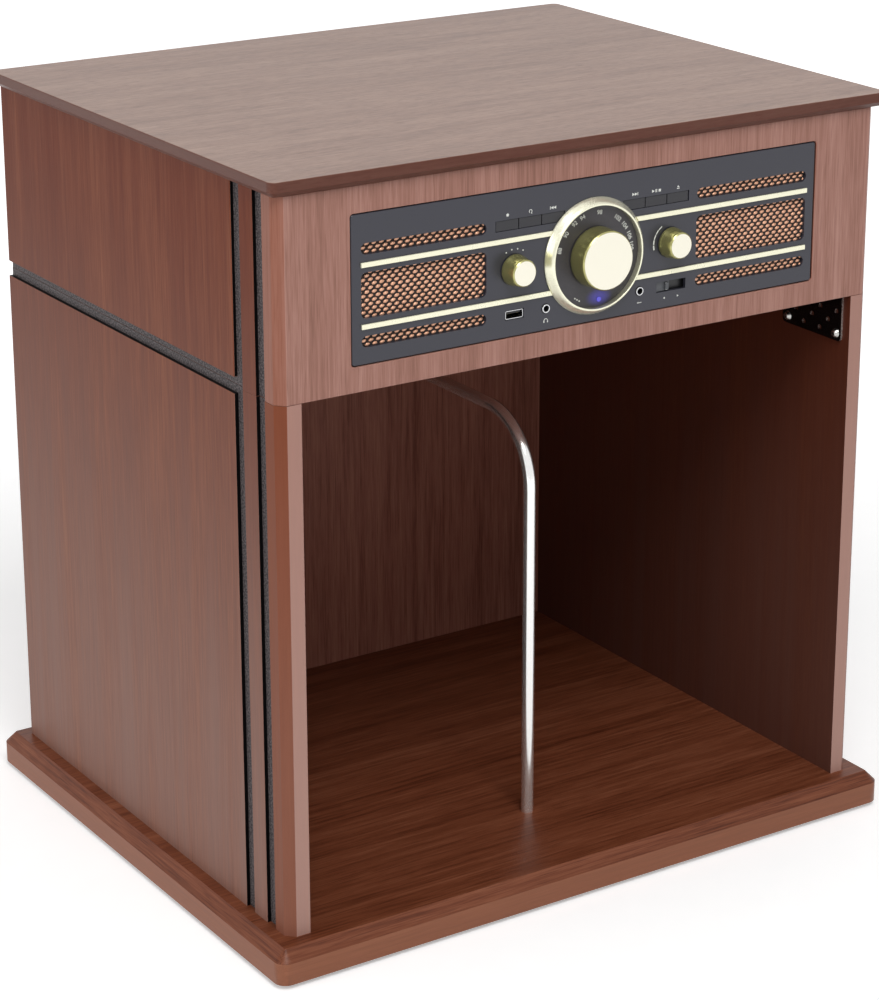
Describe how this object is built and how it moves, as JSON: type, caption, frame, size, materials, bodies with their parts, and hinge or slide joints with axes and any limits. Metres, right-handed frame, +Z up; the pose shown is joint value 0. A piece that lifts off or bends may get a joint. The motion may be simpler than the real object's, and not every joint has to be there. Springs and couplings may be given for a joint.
{
  "type": "retro record player",
  "caption": "Square-cornered wooden record player cabinet with a flat hinged lid, a dark front panel with a round tuning dial, and an open record stand below with a bent tube divider.",
  "frame": {"origin": "bottom centre of the whole object's box, on the floor under the feet", "axes": "+X to the right seen from the front, +Y towards the back, +Z up; the control panel faces -Y"},
  "size_m": [0.464, 0.386, 0.4881],
  "materials": {
    "lid_veneer": "satin",
    "cabinet_veneer": "satin",
    "base_veneer": "satin",
    "inner_board": "satin",
    "panel_black": "satin",
    "champagne_trim": "metallic",
    "knob_cream": "metallic",
    "dial_black": "satin",
    "button_black": "satin",
    "slider_black": "satin",
    "lamp_lens": "lit",
    "grille_cloth": "beaded weave",
    "socket_shell": "satin with metal linings",
    "bent_tube": "polished",
    "bracket_steel": "black oxide",
    "screw_steel": "dark",
    "pad_rubber": "matt",
    "speaker_steel": "semi-gloss",
    "cone_paper": "matt",
    "circuit_green": "lacquered",
    "control_steel": "satin",
    "transformer_core": "lacquered",
    "deck_black": "satin",
    "spindle_steel": "polished",
    "motor_can": "plated",
    "belt_rubber": "matt",
    "pulley_brass": "turned",
    "platter_metal": "satin",
    "mat_felt": "felt",
    "arm_metal": "satin",
    "arm_base_black": "satin",
    "cartridge_black": "satin",
    "hinge_steel": "plated"
  },
  "bodies": {
    "cabinet": {"base_plinth": "base_veneer", "rubber_pads": "pad_rubber", "stand_left_panel": "cabinet_veneer", "stand_right_panel": "cabinet_veneer", "stand_back_panel": "inner_board", "record_divider": "bent_tube", "corner_brackets": "bracket_steel", "wood_screws": "screw_steel", "unit_left_panel": "cabinet_veneer", "unit_right_panel": "cabinet_veneer", "unit_back_panel": "inner_board", "unit_bottom_panel": "inner_board", "fascia_frame": "cabinet_veneer", "deck_cleats": "inner_board", "control_panel": "panel_black", "grille_cloths": "grille_cloth", "left_speaker": "speaker_steel", "right_speaker": "speaker_steel", "speaker_cones": "cone_paper", "trim_strips": "champagne_trim", "dial_bezel": "champagne_trim", "dial_face": "dial_black", "power_lamp": "lamp_lens", "panel_board": "circuit_green", "tuner_unit": "control_steel", "rotary_controls": "control_steel", "panel_sockets": "socket_shell", "main_board": "circuit_green", "mains_transformer": "transformer_core", "rear_sockets": "socket_shell", "deck_plate": "deck_black", "platter_spindle": "spindle_steel", "drive_motor": "motor_can", "drive_belt": "belt_rubber", "tonearm_base": "arm_base_black", "arm_rest": "arm_base_black", "fixed_hinge_leaves": "hinge_steel", "stay_track": "hinge_steel"},
    "lid_body": {"lid": "lid_veneer", "moving_hinge_leaves": "hinge_steel", "stay_bracket": "hinge_steel"},
    "stay_body": {"lid_stay": "hinge_steel"},
    "platter_body": {"platter": "platter_metal", "slipmat": "mat_felt"},
    "pulley_body": {"motor_pulley": "pulley_brass"},
    "yoke_body": {"arm_yoke": "arm_metal"},
    "tonearm_body": {"tonearm": "arm_metal", "cartridge": "cartridge_black"},
    "cue_lever_body": {"cue_lever": "arm_metal"},
    "speed_selector_body": {"speed_selector": "arm_base_black"},
    "tuning_knob_body": {"tuning_knob": "knob_cream"},
    "function_knob_body": {"function_knob": "knob_cream"},
    "volume_knob_body": {"volume_knob": "knob_cream"},
    "mode_slider_body": {"mode_slider": "slider_black"},
    "record_button_body": {"record_button": "button_black"},
    "repeat_button_body": {"repeat_button": "button_black"},
    "previous_button_body": {"previous_button": "button_black"},
    "next_button_body": {"next_button": "button_black"},
    "play_button_body": {"play_button": "button_black"},
    "folder_button_body": {"folder_button": "button_black"}
  },
  "joints": [
    {"name": "lid_hinge", "type": "hinge", "parent": "cabinet", "child": "lid_body", "pos_m": [0, 0.1798, 0.4772], "axis": [-1, 0, 0], "range_deg": [0, 75]},
    {"name": "lid_stay_pivot", "type": "hinge", "parent": "lid_body", "child": "stay_body", "pos_m": [0.1962, 0.10594, 0.46418], "axis": [-1, 0, 0], "range_deg": [-150, 0]},
    {"name": "platter_spin", "type": "hinge", "parent": "cabinet", "child": "platter_body", "pos_m": [-0.038, 0.01325, 0.446], "axis": [0, 0, -1], "continuous": true},
    {"name": "pulley_spin", "type": "hinge", "parent": "cabinet", "child": "pulley_body", "pos_m": [-0.10305, 0.0783, 0.443], "axis": [0, 0, -1], "continuous": true},
    {"name": "tonearm_swing", "type": "hinge", "parent": "cabinet", "child": "yoke_body", "pos_m": [0.15, 0.118, 0.446], "axis": [0, 0, -1], "range_deg": [0, 46]},
    {"name": "tonearm_lift", "type": "hinge", "parent": "yoke_body", "child": "tonearm_body", "pos_m": [0.15, 0.118, 0.467], "axis": [-1, 0, 0], "range_deg": [0, 2]},
    {"name": "cue_lever_turn", "type": "hinge", "parent": "cabinet", "child": "cue_lever_body", "pos_m": [0.177, 0.118, 0.4505], "axis": [-1, 0, 0], "range_deg": [0, 60]},
    {"name": "speed_selector_turn", "type": "hinge", "parent": "cabinet", "child": "speed_selector_body", "pos_m": [0.166, -0.04, 0.4385], "axis": [0, 0, 1], "range_deg": [-30, 30]},
    {"name": "tuning_turn", "type": "hinge", "parent": "cabinet", "child": "tuning_knob_body", "pos_m": [0, -0.18, 0.4136], "axis": [0, 1, 0], "range_deg": [-130, 130]},
    {"name": "function_turn", "type": "hinge", "parent": "cabinet", "child": "function_knob_body", "pos_m": [-0.057, -0.18, 0.4136], "axis": [0, 1, 0], "range_deg": [-45, 45]},
    {"name": "volume_turn", "type": "hinge", "parent": "cabinet", "child": "volume_knob_body", "pos_m": [0.057, -0.18, 0.4136], "axis": [0, 1, 0], "range_deg": [-150, 150]},
    {"name": "mode_slide", "type": "slide", "parent": "cabinet", "child": "mode_slider_body", "axis": [1, 0, 0], "range_m": [0, 0.011]},
    {"name": "record_press", "type": "slide", "parent": "cabinet", "child": "record_button_body", "axis": [0, 1, 0], "range_m": [0, 0.001], "stiffness_N_per_m": 500, "springref_m": -0.0005},
    {"name": "repeat_press", "type": "slide", "parent": "cabinet", "child": "repeat_button_body", "axis": [0, 1, 0], "range_m": [0, 0.001], "stiffness_N_per_m": 500, "springref_m": -0.0005},
    {"name": "previous_press", "type": "slide", "parent": "cabinet", "child": "previous_button_body", "axis": [0, 1, 0], "range_m": [0, 0.001], "stiffness_N_per_m": 500, "springref_m": -0.0005},
    {"name": "next_press", "type": "slide", "parent": "cabinet", "child": "next_button_body", "axis": [0, 1, 0], "range_m": [0, 0.001], "stiffness_N_per_m": 500, "springref_m": -0.0005},
    {"name": "play_press", "type": "slide", "parent": "cabinet", "child": "play_button_body", "axis": [0, 1, 0], "range_m": [0, 0.001], "stiffness_N_per_m": 500, "springref_m": -0.0005},
    {"name": "folder_press", "type": "slide", "parent": "cabinet", "child": "folder_button_body", "axis": [0, 1, 0], "range_m": [0, 0.001], "stiffness_N_per_m": 500, "springref_m": -0.0005}
  ],
  "couplings": [
    {"joint": "lid_stay_pivot", "follows": "lid_hinge", "ratio": -2},
    {"joint": "pulley_spin", "follows": "platter_spin", "ratio": 10},
    {"joint": "tonearm_lift", "follows": "cue_lever_turn", "ratio": 0.0333}
  ]
}
